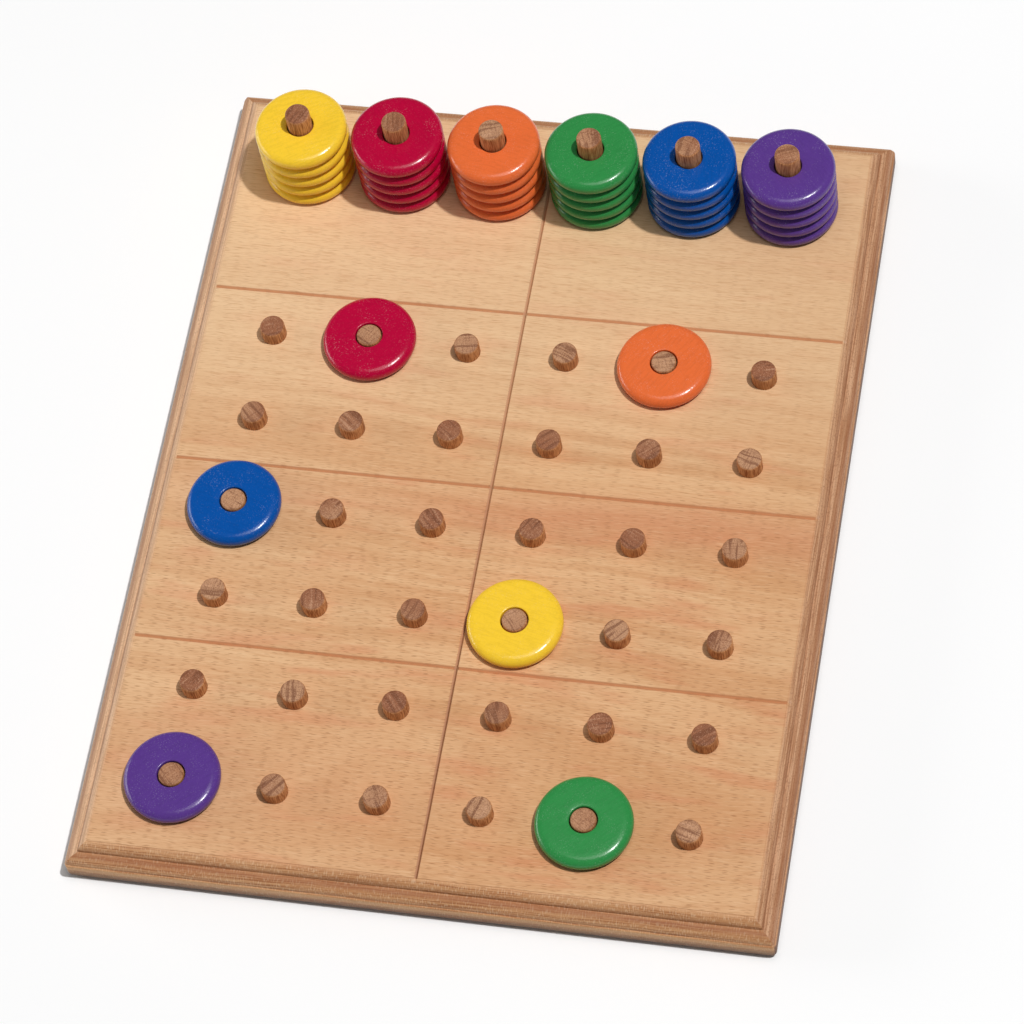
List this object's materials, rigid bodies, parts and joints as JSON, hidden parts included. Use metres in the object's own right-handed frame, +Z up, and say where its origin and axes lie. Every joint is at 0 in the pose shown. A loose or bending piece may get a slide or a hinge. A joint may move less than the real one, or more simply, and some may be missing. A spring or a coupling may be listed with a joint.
{
  "type": "colour sudoku board",
  "caption": "Wooden colour sudoku: a moulded board grooved into boxes, with a grid of short pegs, tall storage pegs at the back and painted rings that lift off the pegs.",
  "frame": {"origin": "centre of the board's underside, on the surface that it rests on", "axes": "+Z up, +Y along the board towards the storage row, +X to the player's right"},
  "size_m": [0.2744, 0.3544, 0.058],
  "materials": {
    "beech": "oiled beech, fine flecks, satin",
    "dowel": "bare hardwood dowel, sawn end grain",
    "paint_yellow": "turned wood in glossy yellow lacquer",
    "paint_red": "turned wood in glossy red lacquer",
    "paint_orange": "turned wood in glossy orange lacquer",
    "paint_green": "turned wood in glossy green lacquer",
    "paint_blue": "turned wood in glossy blue lacquer",
    "paint_purple": "turned wood in glossy purple lacquer"
  },
  "bodies": {
    "board": {"board": "beech", "peg_row_1": "dowel", "peg_row_2": "dowel", "peg_row_3": "dowel", "peg_row_4": "dowel", "peg_row_5": "dowel", "peg_row_6": "dowel", "storage_peg_yellow": "dowel", "storage_peg_red": "dowel", "storage_peg_orange": "dowel", "storage_peg_green": "dowel", "storage_peg_blue": "dowel", "storage_peg_purple": "dowel"},
    "ring_yellow_1": {"ring_yellow_1": "paint_yellow"},
    "ring_yellow_2": {"ring_yellow_2": "paint_yellow"},
    "ring_yellow_3": {"ring_yellow_3": "paint_yellow"},
    "ring_yellow_4": {"ring_yellow_4": "paint_yellow"},
    "ring_yellow_5": {"ring_yellow_5": "paint_yellow"},
    "ring_red_1": {"ring_red_1": "paint_red"},
    "ring_red_2": {"ring_red_2": "paint_red"},
    "ring_red_3": {"ring_red_3": "paint_red"},
    "ring_red_4": {"ring_red_4": "paint_red"},
    "ring_red_5": {"ring_red_5": "paint_red"},
    "ring_orange_1": {"ring_orange_1": "paint_orange"},
    "ring_orange_2": {"ring_orange_2": "paint_orange"},
    "ring_orange_3": {"ring_orange_3": "paint_orange"},
    "ring_orange_4": {"ring_orange_4": "paint_orange"},
    "ring_orange_5": {"ring_orange_5": "paint_orange"},
    "ring_green_1": {"ring_green_1": "paint_green"},
    "ring_green_2": {"ring_green_2": "paint_green"},
    "ring_green_3": {"ring_green_3": "paint_green"},
    "ring_green_4": {"ring_green_4": "paint_green"},
    "ring_green_5": {"ring_green_5": "paint_green"},
    "ring_blue_1": {"ring_blue_1": "paint_blue"},
    "ring_blue_2": {"ring_blue_2": "paint_blue"},
    "ring_blue_3": {"ring_blue_3": "paint_blue"},
    "ring_blue_4": {"ring_blue_4": "paint_blue"},
    "ring_blue_5": {"ring_blue_5": "paint_blue"},
    "ring_purple_1": {"ring_purple_1": "paint_purple"},
    "ring_purple_2": {"ring_purple_2": "paint_purple"},
    "ring_purple_3": {"ring_purple_3": "paint_purple"},
    "ring_purple_4": {"ring_purple_4": "paint_purple"},
    "ring_purple_5": {"ring_purple_5": "paint_purple"},
    "ring_yellow_placed": {"ring_yellow_placed": "paint_yellow"},
    "ring_red_placed": {"ring_red_placed": "paint_red"},
    "ring_orange_placed": {"ring_orange_placed": "paint_orange"},
    "ring_green_placed": {"ring_green_placed": "paint_green"},
    "ring_blue_placed": {"ring_blue_placed": "paint_blue"},
    "ring_purple_placed": {"ring_purple_placed": "paint_purple"}
  },
  "joints": [
    {"name": "lift_yellow_1", "type": "slide", "parent": "board", "child": "ring_yellow_1", "axis": [0, 0, 1], "range_m": [0, 0.045]},
    {"name": "lift_yellow_2", "type": "slide", "parent": "ring_yellow_1", "child": "ring_yellow_2", "axis": [0, 0, 1], "range_m": [0, 0.0385]},
    {"name": "lift_yellow_3", "type": "slide", "parent": "ring_yellow_2", "child": "ring_yellow_3", "axis": [0, 0, 1], "range_m": [0, 0.032]},
    {"name": "lift_yellow_4", "type": "slide", "parent": "ring_yellow_3", "child": "ring_yellow_4", "axis": [0, 0, 1], "range_m": [0, 0.0255]},
    {"name": "lift_yellow_5", "type": "slide", "parent": "ring_yellow_4", "child": "ring_yellow_5", "axis": [0, 0, 1], "range_m": [0, 0.019]},
    {"name": "lift_red_1", "type": "slide", "parent": "board", "child": "ring_red_1", "axis": [0, 0, 1], "range_m": [0, 0.045]},
    {"name": "lift_red_2", "type": "slide", "parent": "ring_red_1", "child": "ring_red_2", "axis": [0, 0, 1], "range_m": [0, 0.0385]},
    {"name": "lift_red_3", "type": "slide", "parent": "ring_red_2", "child": "ring_red_3", "axis": [0, 0, 1], "range_m": [0, 0.032]},
    {"name": "lift_red_4", "type": "slide", "parent": "ring_red_3", "child": "ring_red_4", "axis": [0, 0, 1], "range_m": [0, 0.0255]},
    {"name": "lift_red_5", "type": "slide", "parent": "ring_red_4", "child": "ring_red_5", "axis": [0, 0, 1], "range_m": [0, 0.019]},
    {"name": "lift_orange_1", "type": "slide", "parent": "board", "child": "ring_orange_1", "axis": [0, 0, 1], "range_m": [0, 0.045]},
    {"name": "lift_orange_2", "type": "slide", "parent": "ring_orange_1", "child": "ring_orange_2", "axis": [0, 0, 1], "range_m": [0, 0.0385]},
    {"name": "lift_orange_3", "type": "slide", "parent": "ring_orange_2", "child": "ring_orange_3", "axis": [0, 0, 1], "range_m": [0, 0.032]},
    {"name": "lift_orange_4", "type": "slide", "parent": "ring_orange_3", "child": "ring_orange_4", "axis": [0, 0, 1], "range_m": [0, 0.0255]},
    {"name": "lift_orange_5", "type": "slide", "parent": "ring_orange_4", "child": "ring_orange_5", "axis": [0, 0, 1], "range_m": [0, 0.019]},
    {"name": "lift_green_1", "type": "slide", "parent": "board", "child": "ring_green_1", "axis": [0, 0, 1], "range_m": [0, 0.045]},
    {"name": "lift_green_2", "type": "slide", "parent": "ring_green_1", "child": "ring_green_2", "axis": [0, 0, 1], "range_m": [0, 0.0385]},
    {"name": "lift_green_3", "type": "slide", "parent": "ring_green_2", "child": "ring_green_3", "axis": [0, 0, 1], "range_m": [0, 0.032]},
    {"name": "lift_green_4", "type": "slide", "parent": "ring_green_3", "child": "ring_green_4", "axis": [0, 0, 1], "range_m": [0, 0.0255]},
    {"name": "lift_green_5", "type": "slide", "parent": "ring_green_4", "child": "ring_green_5", "axis": [0, 0, 1], "range_m": [0, 0.019]},
    {"name": "lift_blue_1", "type": "slide", "parent": "board", "child": "ring_blue_1", "axis": [0, 0, 1], "range_m": [0, 0.045]},
    {"name": "lift_blue_2", "type": "slide", "parent": "ring_blue_1", "child": "ring_blue_2", "axis": [0, 0, 1], "range_m": [0, 0.0385]},
    {"name": "lift_blue_3", "type": "slide", "parent": "ring_blue_2", "child": "ring_blue_3", "axis": [0, 0, 1], "range_m": [0, 0.032]},
    {"name": "lift_blue_4", "type": "slide", "parent": "ring_blue_3", "child": "ring_blue_4", "axis": [0, 0, 1], "range_m": [0, 0.0255]},
    {"name": "lift_blue_5", "type": "slide", "parent": "ring_blue_4", "child": "ring_blue_5", "axis": [0, 0, 1], "range_m": [0, 0.019]},
    {"name": "lift_purple_1", "type": "slide", "parent": "board", "child": "ring_purple_1", "axis": [0, 0, 1], "range_m": [0, 0.045]},
    {"name": "lift_purple_2", "type": "slide", "parent": "ring_purple_1", "child": "ring_purple_2", "axis": [0, 0, 1], "range_m": [0, 0.0385]},
    {"name": "lift_purple_3", "type": "slide", "parent": "ring_purple_2", "child": "ring_purple_3", "axis": [0, 0, 1], "range_m": [0, 0.032]},
    {"name": "lift_purple_4", "type": "slide", "parent": "ring_purple_3", "child": "ring_purple_4", "axis": [0, 0, 1], "range_m": [0, 0.0255]},
    {"name": "lift_purple_5", "type": "slide", "parent": "ring_purple_4", "child": "ring_purple_5", "axis": [0, 0, 1], "range_m": [0, 0.019]},
    {"name": "lift_yellow_placed", "type": "slide", "parent": "board", "child": "ring_yellow_placed", "axis": [0, 0, 1], "range_m": [0, 0.011]},
    {"name": "lift_red_placed", "type": "slide", "parent": "board", "child": "ring_red_placed", "axis": [0, 0, 1], "range_m": [0, 0.011]},
    {"name": "lift_orange_placed", "type": "slide", "parent": "board", "child": "ring_orange_placed", "axis": [0, 0, 1], "range_m": [0, 0.011]},
    {"name": "lift_green_placed", "type": "slide", "parent": "board", "child": "ring_green_placed", "axis": [0, 0, 1], "range_m": [0, 0.011]},
    {"name": "lift_blue_placed", "type": "slide", "parent": "board", "child": "ring_blue_placed", "axis": [0, 0, 1], "range_m": [0, 0.011]},
    {"name": "lift_purple_placed", "type": "slide", "parent": "board", "child": "ring_purple_placed", "axis": [0, 0, 1], "range_m": [0, 0.011]}
  ]
}
